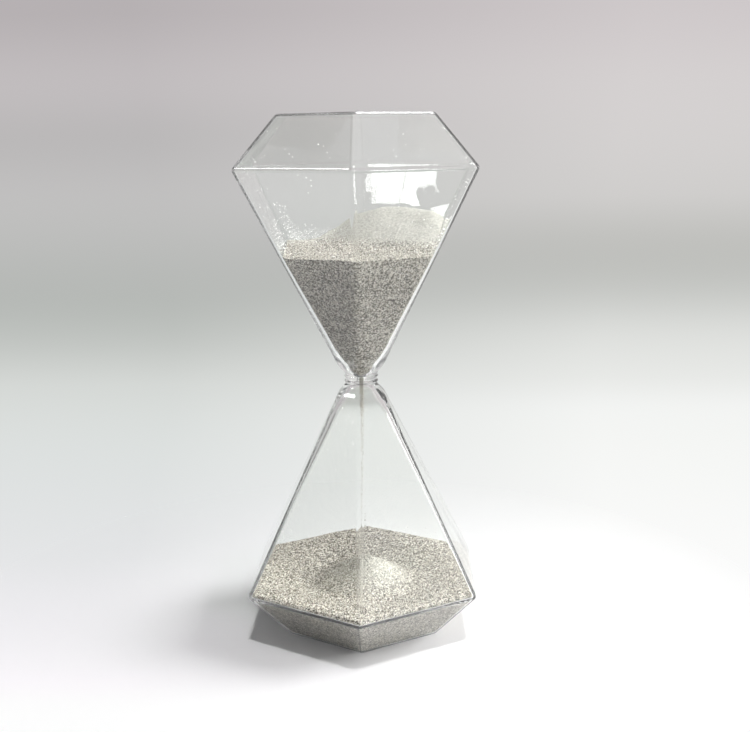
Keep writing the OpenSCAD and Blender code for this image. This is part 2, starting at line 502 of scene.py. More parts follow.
class Number:
    """A number that Math nodes work out. Arithmetic on it adds the nodes."""

    def __init__(self, tree, socket):
        self.tree = tree
        self.socket = socket

    def maths(self, operation, *values):
        node = add_node(self.tree, "Math", dict(enumerate(values)), operation=operation)
        return Number(self.tree, node.outputs[0])

    __add__ = math_node("ADD")
    __sub__ = math_node("SUBTRACT")
    __mul__ = math_node("MULTIPLY")
    __truediv__ = math_node("DIVIDE")
    root = math_node("SQRT")
    at_least = math_node("MAXIMUM")
    at_most = math_node("MINIMUM")

    def __rsub__(self, other):
        return self.maths("SUBTRACT", other, self)

    def clamped(self):
        """The same number, kept between 0 and 1."""
        self.socket.node.use_clamp = True
        return self


def add_node(tree, kind, inputs=None, **settings):
    """A shader node with its settings, and a value or a link in each of the inputs given."""
    node = tree.nodes.new("ShaderNode" + kind)
    for name, value in settings.items():
        setattr(node, name, value)
    for name, value in (inputs or {}).items():
        source = value.socket if isinstance(value, Number) else value
        if isinstance(source, bpy.types.NodeSocket):
            tree.links.new(source, node.inputs[name])
        else:
            node.inputs[name].default_value = source
    return node


def new_material(name):
    """A material and its node tree, which is empty."""
    material = bpy.data.materials.new(name)
    material.use_nodes = True
    material.node_tree.nodes.clear()
    return material, material.node_tree


def place_in(tree, coordinates="Object"):
    """The socket of the place being shaded."""
    return add_node(tree, "TexCoord").outputs[coordinates]


def split_place(tree, coordinates="Object"):
    """The place being shaded, as the numbers x, y and z."""
    axes = add_node(tree, "SeparateXYZ", {0: place_in(tree, coordinates)})
    return [Number(tree, axis) for axis in axes.outputs]


def light_path(tree, what):
    """What the path of the light has met so far, as a number."""
    return Number(tree, add_node(tree, "LightPath").outputs[what])


def from_axis(x, y):
    """Distance from the hourglass's axis."""
    return (x * x + y * y).root()


def colour_ramp(tree, factor, stops, interpolation="LINEAR"):
    """A colour that follows the factor through stops of (position, colour)."""
    node = add_node(tree, "ValToRGB", {"Fac": factor})
    node.color_ramp.interpolation = interpolation
    elements = node.color_ramp.elements
    elements.remove(elements[1])
    for i, (position, colour) in enumerate(stops):
        stop = elements[0] if i == 0 else elements.new(position)
        stop.position = position
        stop.color = (*colour, 1)
    return node.outputs["Color"]


def mixed(tree, factor, a, b, kind):
    """a where the factor is 0 and b where it is 1, for kind RGBA or FLOAT."""
    node = add_node(tree, "Mix", {"Factor": factor, "A": a, "B": b}, data_type=kind)
    return node.outputs["Result"]


def mixed_shaders(tree, factor, a, b):
    """The shader a where the factor is 0 and the shader b where it is 1."""
    return add_node(tree, "MixShader", {"Fac": factor, 1: a, 2: b}).outputs["Shader"]


def bump_from(tree, height, distance):
    """Normals tilted by a height, which is distance metres high where it is 1."""
    return add_node(tree, "Bump", {"Distance": distance, "Height": height}).outputs["Normal"]


# -------- materials
# The glass's draw lines: how many to a metre, and how high
DRAW_LINES = 90
DRAW_BUMP = 0.00002


def glass_material():
    """Clear, faintly green glass with fine draw lines. Lamps shine through it."""
    material, tree = new_material("clear_glass")
    lines = add_node(tree, "TexNoise", {"Vector": place_in(tree), "Scale": DRAW_LINES, "Detail": 1})
    glass = add_node(tree, "BsdfPrincipled", {
        "Base Color": (0.978, 0.988, 0.979, 1),
        "Roughness": 0,
        "IOR": 1.47,
        "Transmission Weight": 1,
        "Normal": bump_from(tree, lines.outputs["Fac"], DRAW_BUMP),
    })
    through = add_node(tree, "BsdfTransparent", {"Color": (0.96, 0.97, 0.96, 1)})
    surface = mixed_shaders(
        tree, light_path(tree, "Is Shadow Ray"), glass.outputs["BSDF"], through.outputs["BSDF"]
    )
    add_node(tree, "OutputMaterial", {"Surface": surface})
    return material


def fused_material():
    """Where two glass pieces are fused nothing shows, because the glass runs through."""
    material, tree = new_material("fused_joint")
    through = add_node(tree, "BsdfTransparent")
    add_node(tree, "OutputMaterial", {"Surface": through.outputs["BSDF"]})
    return material


# A grain's tone by its random number from 0 to 1: brown and grey first, and then pale quartz
SAND_TONES = [
    (0.0, (0.04, 0.032, 0.024)),
    (0.28, (0.20, 0.174, 0.138)),
    (0.53, (0.53, 0.485, 0.413)),
    (0.76, (0.84, 0.79, 0.713)),
    (1.0, (1.0, 0.965, 0.905)),
]
# Cells of the patterns per metre: grains of a body of sand, and patches of a single grain
SAND_CELLS = 2500
GRAIN_PATCHES = 1900
GRAIN_BUMP = -0.00005
# Between these places across, in metres, the tone laid over the sand runs from a painted shade at
# the left, on slopes turned away from the lamps at the right, to a pale tone at the right
SHADE_TURNS = (-0.004, 0.008)
# The bank's fine dust: its own pale tone at the right, darkened at the left by painted shade
BANK_DUST_AND_SHADE = ((0.34, 0.33, 0.295), (0.54, 0.525, 0.48))
# No dust lies on the heap: painted shade for its left flank, painted light for its right flank,
# which the lamp at the right falls on
HEAP_LIGHT_AND_SHADE = ((0.36, 0.34, 0.295), (0.90, 0.88, 0.81))
BANK_DUST_AND_SHADE_MOST = 0.74
HEAP_LIGHT_AND_SHADE_MOST = 0.5
# Heights above the level sand at which the bank's dust and its painted shade start and are most
BANK_DUST_AND_SHADE_FOOT = 1
BANK_DUST_AND_SHADE_CREST = 5


def on_bank(x, y, z):
    """Share of dust and painted shade on the bank: none on the level sand, most on its crest."""
    foot = (HALF + UPPER_LEVEL + BANK_DUST_AND_SHADE_FOOT) * MM
    crest = (HALF + UPPER_LEVEL + BANK_DUST_AND_SHADE_CREST) * MM
    return ((z - foot) / (crest - foot)).clamped() * BANK_DUST_AND_SHADE_MOST


def heap_light_and_shade(x, y, z):
    """Share of painted light and shade on the fresh heap: none at its foot, most round the crater.
    """
    return ((MOUND_R * MM - from_axis(x, y)) / (0.5 * MOUND_R * MM)).clamped() * HEAP_LIGHT_AND_SHADE_MOST


def sand_material(name, shade, dust_and_shade_share, dust_and_shade_colours):
    """Grains of pale quartz, grey and brown, each with its own tone and its own rounded top, under
    a laid-over tone in the share that dust_and_shade_share gives. That tone runs from a painted
    shade
    at the left to a pale tone at the right: the bank's own dust, and on the heap a painted light."""
    material, tree = new_material(name)
    grains = add_node(tree, "TexVoronoi", {"Vector": place_in(tree), "Scale": SAND_CELLS})
    split = add_node(tree, "SeparateColor", {"Color": grains.outputs["Color"]})
    tones = [(position, [shade * c for c in colour]) for position, colour in SAND_TONES]
    x, y, z = split_place(tree)
    first, last = SHADE_TURNS
    # Painted shade darkens the laid-over tone towards the left
    rightness = ((x - first) / (last - first)).clamped()
    left, right = ((*(shade * c for c in colour), 1) for colour in dust_and_shade_colours)
    dust_and_shade = mixed(tree, rightness, left, right, "RGBA")
    grain = colour_ramp(tree, split.outputs["Red"], tones)
    sand = add_node(tree, "BsdfPrincipled", {
        "Base Color": mixed(tree, dust_and_shade_share(x, y, z), grain, dust_and_shade, "RGBA"),
        "Roughness": 0.65,
        "Normal": bump_from(tree, grains.outputs["Distance"], GRAIN_BUMP),
    })
    add_node(tree, "OutputMaterial", {"Surface": sand.outputs["BSDF"]})
    return material


def grain_material(name, dark, pale, clearness, painted_glint=0.0):
    """Single grains, each patch between a dark and a pale tone, more or less see-through.
    painted_glint is a white glow that paints the sparkle of facets too small to model."""
    material, tree = new_material(name)
    patches = add_node(tree, "TexVoronoi", {"Vector": place_in(tree), "Scale": GRAIN_PATCHES})
    split = add_node(tree, "SeparateColor", {"Color": patches.outputs["Color"]})
    quartz = add_node(tree, "BsdfPrincipled", {
        "Base Color": colour_ramp(tree, split.outputs["Green"], [(0.0, dark), (1.0, pale)]),
        "Roughness": 0.15,
        "IOR": 1.54,
        "Transmission Weight": clearness,
        "Emission Color": (1.0, 1.0, 1.0, 1),
        "Emission Strength": painted_glint,
    })
    add_node(tree, "OutputMaterial", {"Surface": quartz.outputs["BSDF"]})
    return material


CLEAR_GLASS = glass_material()
FUSED_JOINT = fused_material()
# Both bulbs hold the same sand: the upper copy is made darker than the lower one, a painted shade
UPPER_SAND = sand_material("upper_sand_grains", 0.80, on_bank, BANK_DUST_AND_SHADE)
LOWER_SAND = sand_material("lower_sand_grains", 0.94, heap_light_and_shade, HEAP_LIGHT_AND_SHADE)
# Clinging grains are paler than the sand and glow a little: painted glints
CLINGING = grain_material(
    "clinging_grains", dark=(0.86, 0.85, 0.82), pale=(1.0, 1.0, 0.98), clearness=0.1, painted_glint=0.4
)
# Falling grains are paler than the sand they come from: painted light on a stream in the shade of
# the upper sand
FALLING = grain_material(
    "falling_grains", dark=(0.88, 0.84, 0.74), pale=(1.0, 0.98, 0.93), clearness=0.5
)


# -------- glass pieces
def seat(piece, slot, *nodes):
    """Every piece rides on the one body and stands for its CAD nodes."""
    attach(piece, "root")
    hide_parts(*nodes)
    return piece


def make_glass(name, node, outer_rows, inner_rows, **how):
    """A glass piece that stands for its CAD node."""
    mesh = glass_solid(name, outer_rows, inner_rows, **how)
    mesh.materials.append(CLEAR_GLASS)
    mesh.materials.append(FUSED_JOINT)
    return seat(link(name, mesh), "bulb_glass", node)


make_glass("upper_bulb_glass", "upper_bulb", bulb_rows(0, OUTER_R, CLOSED_R), inside_rows(CLOSED_R),
           capped=True)
make_glass("lower_bulb_glass", "lower_bulb", bulb_rows(0, OUTER_R, SEAL_R), inside_rows(SEAL_R),
           turned=True)
make_glass("neck_glass", "neck_weld", neck_rows(neck_outside), neck_rows(neck_inside))
make_glass("seal_glass", "fill_seal", seal_rows(0, dimple=0.3), seal_rows(THIN_WALL, dimple=0),
           turned=True, capped=True)


# -------- sand
def plane_a(z, skin, r):
    """Distance from the axis to a bulb's wall at a height, skin deep in the glass."""
    ring_a, ring_z = ring_corner(skin, r)
    end_a, end_z = end_corner(skin, r)
    side = inner_side(z, skin)
    ring = ring_a + np.sqrt(np.maximum(r**2 - (z - ring_z) ** 2, 0))
    bevel = ring_a + r / math.cos(BEVEL_LEAN) - (z - ring_z) * BEVEL_SLOPE
    end = end_a + np.sqrt(np.maximum(r**2 - (z - end_z) ** 2, 0))
    below_ring = ring_z - r * math.sin(SIDE_LEAN)
    above_ring = ring_z + r * math.sin(BEVEL_LEAN)
    below_end = end_z + r * math.sin(BEVEL_LEAN)
    return np.select((z < below_ring, z < above_ring, z < below_end), (side, ring, bevel), end)


def wall_a(z, gap, r):
    """Distance from the axis to the inside of a bulb at a height, less a gap of air."""
    thick, thin = plane_a(z, WALL + gap, r), plane_a(z, THIN_WALL + gap, r)
    return thick + (thin - thick) * thinning(z)


def lattice_value(cell):
    """A fixed pseudo-random number in -1..1 for each whole-numbered cell."""
    key = cell[..., 0] * 73856093 ^ cell[..., 1] * 19349663 ^ cell[..., 2] * 83492791
    key = (key ^ (key >> 13)) * 1274126177 & 0x7FFFFFFF
    return (key >> 8 & 0xFFFF) / 32767.5 - 1


def value_noise(points, size):
    """Smooth random values in -1..1 that change over about one size."""
    scaled = points / size
    cell = np.floor(scaled).astype(np.int64)
    f = smooth_step(scaled - cell)
    total = np.zeros(points.shape[:-1])
    for corner in np.ndindex(2, 2, 2):
        weight = np.prod(np.where(corner, f, 1 - f), axis=-1)
        total += weight * lattice_value(cell + np.array(corner))
    return total


SAND_GAP = 0.12
SAND_EDGE_R = 1.0
# Relief of the grains on top of the sand, and the share of it where the glass presses them
GRAIN_RELIEF = 0.16
PRESSED = 0.9
GRAIN_WAVES = [
    # share of the relief, size in mm, shift of the pattern
    (0.6, 0.42, 0.0),
    (0.4, 0.75, 31.7),
]
# Tries at finding where the surface of the sand meets the glass
EDGE_TRIES = 6
# How far towards the axis the rows of the foot go before a cap closes it
FOOT_CLOSES = 0.98
# Closer to the axis than this, the glass presses the grains inward less
CORE_R = 0.5


def wall_ring(outline, z):
    """Points of the sand's edge against the glass, at a height for each column."""
    a = wall_a(z, SAND_GAP, SAND_EDGE_R)
    c = corner_radius(np.minimum(z, GIRDLE_Z), SAND_EDGE_R)
    return outline.at(a, c)


def sand_solid(outline, surface, level, foot, top_rows, side_rows, foot_rows):
    """A closed body of sand between a surface(x, y) and the foot height, held by the glass.
    Heights are above the waist of the upper bulb, or below that of the lower one."""
    edge_z = np.full(outline.count, float(level))
    for _ in range(EDGE_TRIES):
        edge = wall_ring(outline, edge_z)
        edge_z = surface(edge[:, 0], edge[:, 1])
    rows = []
    for i in range(1, top_rows + 1):
        flat = edge * (i / top_rows)
        rows.append(np.column_stack((flat, surface(flat[:, 0], flat[:, 1]))))
    for i in range(1, side_rows + 1):
        z = edge_z + (foot - edge_z) * (i / side_rows)
        rows.append(np.column_stack((wall_ring(outline, z), z)))
    foot_edge = rows[-1][:, :2]
    for i in range(1, foot_rows + 1):
        flat = foot_edge * (1 - FOOT_CLOSES * i / foot_rows)
        rows.append(np.column_stack((flat, np.full(outline.count, foot))))
    points = np.array(rows).reshape(-1, 3)
    noise = sum(share * value_noise(points + shift, size) for share, size, shift in GRAIN_WAVES)
    on_top = np.repeat(np.arange(len(rows)) < top_rows, outline.count)
    pressed = np.where(on_top, 0, PRESSED * GRAIN_RELIEF * (noise - 1))[:, None]
    radius = np.maximum(np.hypot(points[:, 0], points[:, 1]), CORE_R)[:, None]
    points[:, 2] += np.where(on_top, GRAIN_RELIEF * noise, 0)
    points[:, :2] += pressed * points[:, :2] / radius
    faces = grid_faces(len(rows), outline.count, 0).tolist()
    ring = np.arange(outline.count)
    faces += [ring[::-1].tolist(), (len(points) - outline.count + ring).tolist()]
    if foot < level:
        faces = [f[::-1] for f in faces]
    return points, faces


def make_sand(name, nodes, material, turned=False, **shape):
    """A body of sand that stands for its CAD nodes."""
    points, faces = sand_solid(**shape)
    mesh = mesh_from(name, points, faces, turned=turned)
    mesh.materials.append(material)
    return seat(link(name, mesh), "sand", *nodes)


def rolling(x, y, height, size, shift):
    """Gentle rises and hollows up to a height, about one size across."""
    return height * value_noise(np.stack((x, y, np.full_like(x, shift)), axis=-1), size)


# Slope of sand at rest
REPOSE = math.tan(math.radians(32))
PIT_R = 5.5
PIT_DEPTH = 2.5
# The level sand rises a little in this direction, from a distance and over a run
RISE_TOWARDS = (-0.87, 0.5)
RISE_FROM = 12
RISE_RUN = 24
RISE_H = 4.0
CREST = [
    # across and back from the axis, share of the bank's height above the level
    (27.0, 22.0, 0.91),
    (20.0, 27.3, 1.00),
    (8.5, 33.0, 1.00),
    (0.0, 36.5, 0.84),
    (-7.0, 34.0, 0.57),
    (-16.6, 28.3, 0.34),
    (-25.0, 23.5, 0.26),
    (-33.0, 19.0, 0.25),
]
CREST_STEPS = 85
CREST_ROUND = 3.0
BANK_BLEND = 2.0
# Runnels fan out from a place on the level sand, between two distances from it
FAN_AT = (9, -6)
FAN_FROM = 8
FAN_TO = 27
FAN_FADE = 6
RUNNELS = 80  # in a full turn
RUNNEL_WANDER = 2.5
RUNNEL_DEPTH = 0.07


def upper_surface(x, y):
    """Nearly level sand with a small pit, and a bank along the walls at the back with runnels
    down its face."""
    r = np.hypot(x, y)
    uphill = RISE_TOWARDS[0] * x + RISE_TOWARDS[1] * y
    rise = RISE_H * np.clip((uphill - RISE_FROM) / RISE_RUN, 0, 1) ** 2
    rolls = rolling(x, y, height=0.3, size=15.0, shift=3.3)
    ripples = rolling(x, y, height=0.15, size=5.0, shift=8.1)
    pit = PIT_DEPTH * np.clip(1 - r / PIT_R, 0, 1)
    corner, part = np.arange(len(CREST)), np.linspace(0, len(CREST) - 1, CREST_STEPS)
    across, back, share = (np.interp(part, corner, column) for column in zip(*CREST))
    bank = np.full_like(x, -np.inf)
    for crest_x, crest_y, crest_share in zip(across, back, share):
        away = np.sqrt((x - crest_x) ** 2 + (y - crest_y) ** 2 + CREST_ROUND**2) - CREST_ROUND
        bank = np.maximum(bank, (DRIFT_TOP - UPPER_LEVEL) * crest_share - REPOSE * away)
    bearing = np.arctan2(y - FAN_AT[1], x - FAN_AT[0])
    reach = np.hypot(y - FAN_AT[1], x - FAN_AT[0])
    fan = np.clip((reach - FAN_FROM) / FAN_FADE, 0, 1) * np.clip((FAN_TO - reach) / FAN_FADE, 0, 1)
    wander = rolling(x, y, height=RUNNEL_WANDER, size=4.0, shift=1.7)
    runnels = RUNNEL_DEPTH * (np.sin(bearing * RUNNELS + wander) * fan)
    bank += UPPER_LEVEL + runnels + rolling(x, y, height=0.4, size=7.0, shift=6.6)
    return smooth_max(UPPER_LEVEL + rise + rolls + ripples - pit, bank, BANK_BLEND)


CRATER_R = 2.8
CRATER_DEPTH = 1.0
DISH_R = 39.0
# The dish is part cone and part bowl
CONE_SHARE = 0.35
HEAP_BLEND = 1.0


def lower_surface(x, y):
    """Settled sand dished in the middle, a fresh heap under the stream and a crater in its top."""
    r = np.hypot(x, y)
    across = np.clip((DISH_R - r) / (DISH_R - MOUND_R), 0, 1)
    dish = CONE_SHARE * across + (1 - CONE_SHARE) * smooth_step(across)
    rolls = rolling(x, y, height=0.4, size=17.0, shift=5.5)
    ripples = rolling(x, y, height=0.2, size=6.0, shift=2.2)
    bed = LOWER_LEVEL - (LOWER_LEVEL - MOUND_FOOT) * dish + rolls + ripples
    slope = (MOUND_TOP - MOUND_FOOT) / (MOUND_R - CRATER_R)
    heap = MOUND_TOP - slope * np.maximum(r - CRATER_R, 0)
    heap += rolling(x, y, height=0.15, size=5.0, shift=4.4)
    crater = CRATER_DEPTH * np.clip(1 - r / CRATER_R, 0, 1)
    return HALF - smooth_max(bed, heap - crater, HEAP_BLEND)


UPPER_NODES = ("upper_sand", "upper_sand_drift")
LOWER_NODES = ("lower_sand", "lower_sand_mound")
make_sand("upper_sand_heap", UPPER_NODES, UPPER_SAND, outline=Outline(arc_steps=4, side_steps=70),
          surface=upper_surface, level=UPPER_LEVEL, foot=THROAT_HALF,
          top_rows=80, side_rows=120, foot_rows=1)
make_sand("lower_sand_heap", LOWER_NODES, LOWER_SAND, outline=Outline(arc_steps=4, side_steps=88),
          surface=lower_surface, level=HALF - LOWER_LEVEL, foot=HALF - THIN_WALL - SAND_GAP,
          top_rows=95, side_rows=45, foot_rows=12, turned=True)

# -------- single grains
# A grain starts as the twelve corners of a regular solid with 20 triangles, one from its middle
GOLDEN = (1 + math.sqrt(5)) / 2
RECTANGLE = np.array([(s, t * GOLDEN, 0.0) for s in (-1, 1) for t in (-1, 1)])
GRAIN_SHAPE = np.concatenate([np.roll(RECTANGLE, turn, axis=1) for turn in range(3)])
GRAIN_SHAPE /= math.hypot(1, GOLDEN)
# How uneven a grain's corners are, and how far it may be stretched along each of its axes
LUMPY = 0.18
STRETCH = (0.75, 1.15)


def grain_faces():
    """The 20 triangles between a grain's corners, all turned outward."""
    edge = min(np.linalg.norm(GRAIN_SHAPE[0] - p) for p in GRAIN_SHAPE[1:]) + HAIR
    near = np.linalg.norm(GRAIN_SHAPE[:, None] - GRAIN_SHAPE[None], axis=-1) < edge
    faces = []
    for i, j, k in itertools.combinations(range(len(GRAIN_SHAPE)), 3):
        if near[i, j] and near[j, k] and near[i, k]:
            a, b, c = GRAIN_SHAPE[[i, j, k]]
            outward = np.dot(np.cross(b - a, c - a), a) > 0
            faces.append((i, j, k) if outward else (i, k, j))
    return np.array(faces)


def grains_piece(name, centres, sizes, nodes, material):
    """One mesh of separate irregular grains, each with its own stretch and turn."""
    count, corners = len(centres), len(GRAIN_SHAPE)
    shape = GRAIN_SHAPE[None] * (1 + LUMPY * rng.uniform(-1, 1, (count, corners, 1)))
    shape = shape * rng.uniform(*STRETCH, (count, 1, 3)) * sizes[:, None, None] / 2
    spin = np.linalg.qr(rng.normal(size=(count, 3, 3)))[0]
    spin *= np.sign(np.linalg.det(spin))[:, None, None]
    points = centres[:, None] + np.einsum("nij,npj->npi", spin, shape)
    faces = grain_faces()[None] + corners * np.arange(count)[:, None, None]
    mesh = mesh_from(name, points.reshape(-1, 3), faces.reshape(-1, 3).tolist())
    mesh.materials.append(material)
    return seat(link(name, mesh), "sand", *nodes)


# Grains on a wall stay this far from it: a grain's own reach, as a share of its size, and air
GRAIN_REACH = 0.68
GRAIN_GAP = 0.02
# and off the rounding of the upright corners
WALL_SHARE = 0.94


def on_wall(side, along, z, size):
    """Places on the inside of a bulb's wall: side, -1 to 1 along it, height above the waist."""
    a = wall_a(z, GRAIN_REACH * size + GRAIN_GAP, INNER_R)
    normal = np.stack((np.cos(side * TURN), np.sin(side * TURN)), axis=-1)
    sideways = np.stack((-normal[..., 1], normal[..., 0]), axis=-1)
    shift = WALL_SHARE * along * a * math.tan(TURN / 2)
    flat = normal * a[..., None] + sideways * shift[..., None]
    return np.column_stack((flat, z))


STREAM_R = 0.95
STREAM_CROWDED = 1100
STREAM_APART = 430
STREAM_THINS = 5.5
STREAM_SIZES = (0.26, 0.42)


def falling_grains():
    """The stream: crowded in the throat, few and far apart once the grains have gathered speed."""
    foot = MOUND_TOP - CRATER_DEPTH - HALF
    crowded = THROAT_HALF - rng.exponential(STREAM_THINS, STREAM_CROWDED)
    apart = rng.uniform(foot, THROAT_HALF, STREAM_APART)
    z = np.maximum(np.concatenate((crowded, apart)), foot)
    sizes = rng.uniform(*STREAM_SIZES, len(z))
    reach = STREAM_R - 0.5 * sizes
    r = reach * np.sqrt(rng.uniform(0, 1, len(z)))
    angle = rng.uniform(0, 2 * math.pi, len(z))
    return np.column_stack((r * np.cos(angle), r * np.sin(angle), z)), sizes


def clinging(count, sides, first, last, crowding, along=(-1, 1), span=(0.22, 0.5)):
    """Grains on some sides of a bulb, between two heights. Crowding above 1 gathers them at the
    first, along is the stretch of each side that they cling to, and span that of their sizes."""
    rise = rng.uniform(0, 1, count) ** crowding
    sizes = rng.uniform(*span, count)
    side = np.array(sides)[rng.integers(0, len(sides), count)]
    place = along[0] + (along[1] - along[0]) * rng.uniform(0, 1, count)
    return on_wall(side, place, first + (last - first) * rise, sizes), sizes


RESTING_SIZES = (0.32, 0.52)
RESTING_GAP = SAND_GAP + 0.4
# How much of a resting grain's size it stands out, and how ragged their upper limit is
STANDS_OUT = 0.2
RAGGED = 1.5


def resting(tries, surface, level, upward, highest=HALF):
    """Grains that lie loose on a surface of sand. Of the places tried, those clear of the glass and
    below the highest keep theirs. upward is 1, or -1 for the lower bulb, which is turned over."""
    reach = wall_a(np.array([float(level)]), SAND_GAP, SAND_EDGE_R)[0] * TO_CORNER
    x, y = rng.uniform(-reach, reach, (2, tries))
    z = surface(x, y)
    across = np.max([x * math.cos(k * TURN) + y * math.sin(k * TURN) for k in range(SIDES)], axis=0)
    inside = across < wall_a(z, RESTING_GAP, SAND_EDGE_R)
    inside &= z + rng.uniform(-RAGGED, RAGGED, len(z)) < highest
    sizes = rng.uniform(*RESTING_SIZES, np.count_nonzero(inside))
    places = np.column_stack((x, y, z))[inside]
    places[:, 2] += upward * STANDS_OUT * sizes
    return places, sizes


def joined(*groups):
    """The places and the sizes of several groups of grains."""
    places, sizes = zip(*groups)
    return np.concatenate(places), np.concatenate(sizes)


# The sides of a bulb in their order, from +X towards +Y
RIGHT, BACK_RIGHT, BACK_LEFT, LEFT, FRONT_LEFT, FRONT_RIGHT = ALL_SIDES = range(SIDES)
ABOVE_SAND = UPPER_LEVEL + 1.5
LOWER_SAND_TOP = HALF - LOWER_LEVEL

grains_piece("falling_grains", *falling_grains(), ("falling_sand",), FALLING)
upper_grains = joined(
    clinging(100, (BACK_LEFT,), ABOVE_SAND + 1, UPPER_LEVEL + 18, 1.5, (1, 0.74), (0.24, 0.42)),
    clinging(90, (BACK_LEFT,), ABOVE_SAND, UPPER_LEVEL + 10, 2.0, (1, 0.2), (0.24, 0.42)),
    clinging(1200, (BACK_LEFT,), ABOVE_SAND, UPPER_LEVEL + 7, 2.4, span=(0.14, 0.28)),
    clinging(30, (LEFT,), ABOVE_SAND, UPPER_LEVEL + 12, 1.6),
    clinging(60, (RIGHT, FRONT_LEFT, FRONT_RIGHT), ABOVE_SAND, UPPER_LEVEL + 14, 1.6),
    clinging(70, ALL_SIDES, UPPER_LEVEL + 16, END_Z - 3, 1.0),
)
grains_piece("upper_clinging_grains", *upper_grains, ("upper_loose_grains",), CLINGING)
lower_grains, lower_sizes = joined(
    clinging(26, (LEFT, FRONT_LEFT), 13, 22, 1.0),
    clinging(60, ALL_SIDES, 14, LOWER_SAND_TOP - 4, 0.6),
    clinging(160, ALL_SIDES, LOWER_SAND_TOP - 1, LOWER_SAND_TOP - 9, 2.5),
)
grains_piece("lower_clinging_grains", lower_grains * TURNED, lower_sizes, ("lower_loose_grains",),
             CLINGING)

UPPER_TRIES = 14000
LOWER_TRIES = 28000
upper_bed = resting(UPPER_TRIES, upper_surface, UPPER_LEVEL, 1, highest=UPPER_LEVEL + 2.6)
grains_piece("upper_surface_grains", *upper_bed, UPPER_NODES, UPPER_SAND)
bed_grains, bed_sizes = resting(LOWER_TRIES, lower_surface, LOWER_SAND_TOP, -1)
at_left = bed_grains[:, 0] < 0
for name, half in (("lower_left_grains", at_left), ("lower_right_grains", ~at_left)):
    grains_piece(name, bed_grains[half] * TURNED, bed_sizes[half], LOWER_NODES, LOWER_SAND)

# -------- stage
# The sweep is a flat floor that curves up into a backdrop. Sizes from here on are in metres.
SWEEP_WIDTH = 3.0
SWEEP_FRONT = -1.2
SWEEP_FLAT_TO = 0.35
SWEEP_BEND_R = 0.5
SWEEP_BEND_STEPS = 24
SWEEP_TOP = 1.8
# Distance along the sweep and its red, green and blue there, as they show, at the left and at the
# right. These tones are painted light and shade of the room: darker at the left, away from the
# lamps at the right, with darker and lighter bands along the sweep, and brighter than white near
# the hourglass.
LEFT_TONES = [
    (-0.09, 1.08, 1.05, 1.08), (-0.03, 0.93, 0.91, 0.94), (0.06, 0.76, 0.77, 0.78),
    (0.24, 0.72, 0.75, 0.74), (0.41, 0.68, 0.70, 0.68), (0.51, 0.54, 0.56, 0.54),
    (0.63, 0.43, 0.45, 0.43), (0.82, 0.57, 0.56, 0.56), (0.94, 0.46, 0.45, 0.45),
    (1.04, 0.57, 0.54, 0.55), (1.15, 0.45, 0.42, 0.43),
]
RIGHT_TONES = [
    (-0.09, 1.00, 1.00, 1.00), (0.02, 0.98, 0.98, 0.98), (0.24, 0.90, 0.91, 0.89),
    (0.34, 0.91, 0.92, 0.91), (0.42, 0.80, 0.81, 0.79), (0.53, 0.74, 0.75, 0.73),
    (0.63, 0.53, 0.54, 0.52), (0.73, 0.51, 0.51, 0.49), (0.82, 0.64, 0.63, 0.62),
    (1.03, 0.68, 0.65, 0.65), (1.15, 0.61, 0.57, 0.58),
]
# The left tones turn into the right ones over twice this width, which grows along the sweep
TURN_HALF_WIDTH = 0.10
TURN_WIDENS = 0.16
# Within the first distance of the axis the sweep is matt and takes the shadow. Beyond it, over the
# second, its tones become even.
MATT_R = 0.085
MATT_FADE = 0.09
# Rays that have not bounced off a matt surface see the matt part at this many times its tones, a
# painted light
MATT_SHADE = 1.02
# Light that the floor throws back: more at the right, and more close to the hourglass
BOUNCE_RIGHT = 1.5
BOUNCE_LEAST, BOUNCE_MOST = 0.6, 1.4
BOUNCE_NEAR = 1.25
BOUNCE_DROP = 0.6
BOUNCE_R = 0.05
BOUNCE_FADE = 0.05


def tone_ramp(tree, along, tones):
    """The tones of one side of the sweep, blended along it."""
    first, last = tones[0][0], tones[-1][0]
    stops = [((at - first) / (last - first), colour) for at, *colour in tones]
    return colour_ramp(tree, (along - first) / (last - first), stops, "B_SPLINE")


def sweep_material():
    """Pale sweep. Near the hourglass it takes its shadow; further off it shows even tones, which
    are painted light and shade.
    """
    material, tree = new_material("sweep")
    x, y, z = split_place(tree)
    along = y + z
    half_width = along * TURN_WIDENS + TURN_HALF_WIDTH
    rightness = (x / (half_width * 2.0) + 0.5).clamped()
    left, right = tone_ramp(tree, along, LEFT_TONES), tone_ramp(tree, along, RIGHT_TONES)
    shown = mixed(tree, rightness, left, right, "RGBA")

    bounced = light_path(tree, "Diffuse Depth").at_most(1.0)
    plan = from_axis(x, y)
    away = ((plan - BOUNCE_R) / BOUNCE_FADE).clamped()
    lighting = (x * BOUNCE_RIGHT + 1.0).at_least(BOUNCE_LEAST).at_most(BOUNCE_MOST)
    lighting = lighting * (BOUNCE_NEAR - away * BOUNCE_DROP)
    scale = mixed(tree, bounced, MATT_SHADE, lighting, "FLOAT")
    tint = add_node(tree, "VectorMath", {0: shown, "Scale": scale}, operation="SCALE").outputs[0]
    matt = add_node(tree, "BsdfDiffuse", {"Color": tint}).outputs["BSDF"]
    even = add_node(tree, "Emission", {"Color": shown}).outputs["Emission"]
    far = ((plan - MATT_R) / MATT_FADE).clamped()
    surface = mixed_shaders(tree, (1.0 - bounced) * far, matt, even)
    add_node(tree, "OutputMaterial", {"Surface": surface})
    return material


